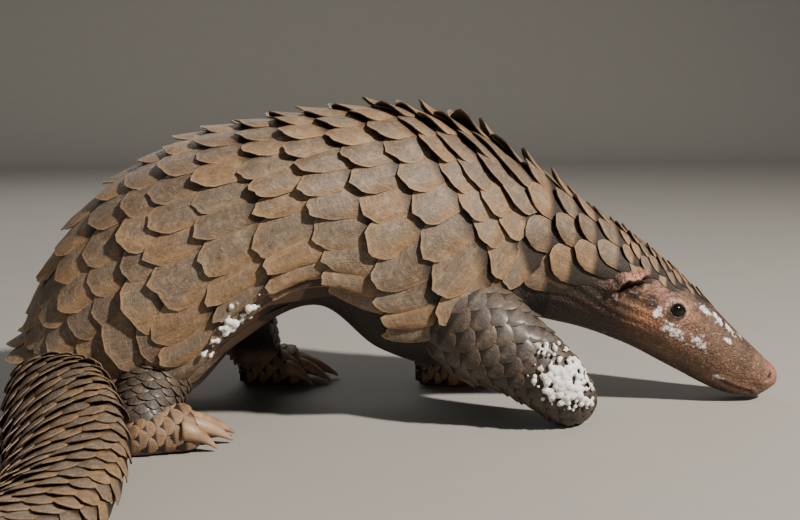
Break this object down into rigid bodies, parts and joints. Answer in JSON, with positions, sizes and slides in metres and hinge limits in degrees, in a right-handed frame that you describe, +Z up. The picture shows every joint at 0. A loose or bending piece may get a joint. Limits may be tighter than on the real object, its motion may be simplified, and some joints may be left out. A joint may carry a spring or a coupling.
{
  "type": "pangolin",
  "caption": "Life-size still model of a walking pangolin with overlapping scales, head low, right forelimb a healed stump.",
  "frame": {"origin": "on the floor below the middle of the model's bounding box", "axes": "+X towards the head, +Z up, +Y towards the animal's left side"},
  "size_m": [0.4788, 0.3346, 0.1539],
  "materials": {
    "body_scales": "worn horn, matte, brown with greyish centres and fine scratches",
    "limb_scales": "dark horn with a slight gloss",
    "skin": "bare wrinkled skin",
    "claws": "pale worn horn",
    "eyes": "wet black"
  },
  "bodies": {
    "root": {"head": "skin", "neck": "body_scales", "torso_front": "body_scales", "torso_rear": "body_scales", "tail_base": "body_scales", "tail_second": "body_scales", "tail_third": "body_scales", "tail_tip": "body_scales", "eye_right": "eyes", "eye_left": "eyes", "ear_right": "skin", "ear_left": "skin", "foreleg_right": "limb_scales", "foreleg_left": "limb_scales", "forefoot_left": "skin", "forefoot_left_claw_1": "claws", "forefoot_left_claw_2": "claws", "forefoot_left_claw_3": "claws", "forefoot_left_claw_4": "claws", "forefoot_left_claw_5": "claws", "hind_leg_right": "limb_scales", "hind_foot_right": "skin", "hind_foot_right_claw_1": "claws", "hind_foot_right_claw_2": "claws", "hind_foot_right_claw_3": "claws", "hind_foot_right_claw_4": "claws", "hind_foot_right_claw_5": "claws", "hind_leg_left": "limb_scales", "hind_foot_left": "skin", "hind_foot_left_claw_1": "claws", "hind_foot_left_claw_2": "claws", "hind_foot_left_claw_3": "claws", "hind_foot_left_claw_4": "claws", "hind_foot_left_claw_5": "claws"}
  },
  "joints": []
}
